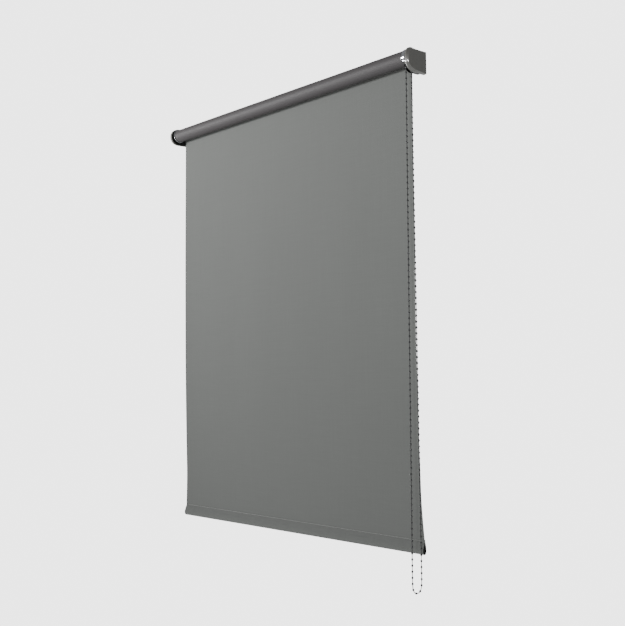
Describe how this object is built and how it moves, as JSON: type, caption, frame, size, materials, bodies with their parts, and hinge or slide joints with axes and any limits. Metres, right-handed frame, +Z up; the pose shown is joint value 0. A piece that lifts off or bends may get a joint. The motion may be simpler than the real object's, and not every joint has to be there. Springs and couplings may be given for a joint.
{
  "type": "roller blind",
  "caption": "Bead-chain roller blind on two capped wall brackets, with the fabric lowered and a bar in its bottom hem.",
  "frame": {"origin": "on the wall plane, level with the roller's axis, at the middle of the fabric's width", "axes": "+Z up, +Y into the wall, +X along the roller towards the bead chain"},
  "size_m": [0.903, 0.0815, 1.1043],
  "materials": {
    "fabric": "plain dim-out weave, grey",
    "reverse": "coated back of the fabric, purplish grey",
    "cover": "moulded, grey, soft gloss",
    "chrome": "polished",
    "steel": "zinc plated",
    "aluminium": "mill finish extrusion",
    "black": "moulded, black",
    "enamel": "black stove enamel on steel",
    "nylon": "moulded, natural",
    "thread": "light grey sewing thread",
    "chain": "grey cord with moulded beads"
  },
  "bodies": {
    "brackets": {"drive_bracket": "enamel", "drive_cover": "cover", "drive_screw_upper": "steel", "drive_screw_lower": "steel", "idle_bracket": "enamel", "idle_cover": "cover", "idle_screw_upper": "steel", "idle_screw_lower": "steel", "clutch_core": "steel", "clutch_retaining_ring": "steel", "clutch_spring_inner": "steel", "clutch_spring_outer": "steel", "chain_guard": "chrome", "chain_guide": "black", "fabric_panel": "fabric"},
    "roller": {"roller_tube": "aluminium", "fixing_tape": "nylon", "fabric_roll": "reverse", "drive_crown": "nylon", "idle_plug": "nylon", "idle_ring": "chrome", "idle_spring_retainer": "steel", "idle_pin_spring": "steel", "chain_wheel": "nylon"},
    "bar": {"hem_pocket": "fabric", "hem_stitching": "thread", "bottom_bar": "aluminium", "bar_cap_drive": "black", "bar_cap_idle": "black"},
    "chain": {"chain_cord": "chain", "chain_wrap": "chain"},
    "pin": {"idle_pin": "steel"}
  },
  "joints": [
    {"name": "roller_spin", "type": "hinge", "parent": "brackets", "child": "roller", "pos_m": [0, -0.038, 0], "axis": [1, 0, 0], "range_deg": [0, 3130]},
    {"name": "lift", "type": "slide", "parent": "brackets", "child": "bar", "axis": [0, 0, 1], "range_m": [0, 0.93], "deforming": ["fabric_panel"]},
    {"name": "chain_swing", "type": "hinge", "parent": "brackets", "child": "chain", "pos_m": [0.438, -0.038, 0], "axis": [1, 0, 0], "range_deg": [-12, 0]},
    {"name": "idle_pin_slide", "type": "slide", "parent": "brackets", "child": "pin", "axis": [1, 0, 0], "range_m": [0, 0.006], "stiffness_N_per_m": 300, "springref_m": -0.004, "deforming": ["idle_pin_spring"]}
  ],
  "couplings": [
    {"joint": "lift", "follows": "roller_spin", "m_per_rad": 0.017}
  ]
}
